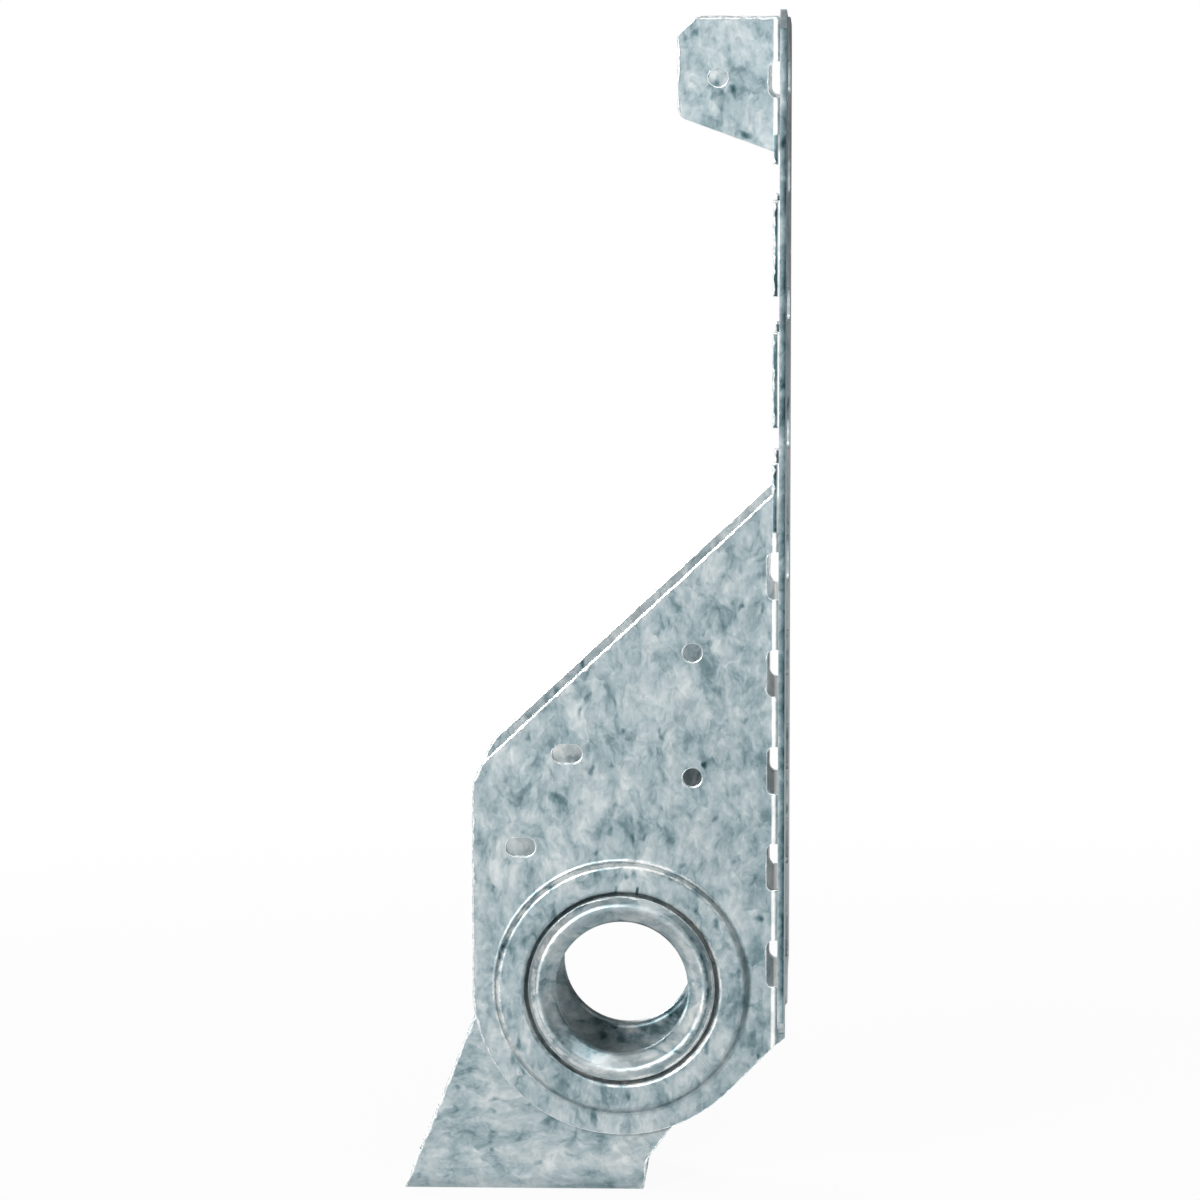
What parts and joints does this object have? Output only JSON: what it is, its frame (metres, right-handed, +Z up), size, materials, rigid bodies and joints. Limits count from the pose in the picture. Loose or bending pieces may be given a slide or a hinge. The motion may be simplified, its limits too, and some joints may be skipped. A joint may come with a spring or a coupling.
{
  "type": "rafter hanger",
  "caption": "Slope-adjustable sheet-steel rafter hanger: side plates with nailing flanges, and a U-shaped seat that swings on rolled eyelets.",
  "frame": {"origin": "on the plane of the header's face, midway between the flanges, at the centre of the header nails", "axes": "+X out of the back of the flanges into the header, +Y across the rafter towards the right side piece, +Z up the header"},
  "size_m": [0.0923, 0.1098, 0.2856],
  "materials": {
    "galvanised_sheet": "hot-dip galvanised, mottled matt spangle"
  },
  "bodies": {
    "left_side": {"left_side": "galvanised_sheet"},
    "seat": {"seat": "galvanised_sheet"},
    "right_side": {"right_side": "galvanised_sheet"}
  },
  "joints": [
    {"name": "seat_slope", "type": "hinge", "parent": "left_side", "child": "seat", "pos_m": [-0.0395, 0, -0.115], "axis": [0, 1, 0], "range_deg": [-45, 45]},
    {"name": "right_side_turn", "type": "hinge", "parent": "seat", "child": "right_side", "pos_m": [-0.0395, 0, -0.115], "axis": [0, 1, 0], "range_deg": [-45, 45]}
  ],
  "couplings": [
    {"joint": "right_side_turn", "follows": "seat_slope", "ratio": -1}
  ]
}
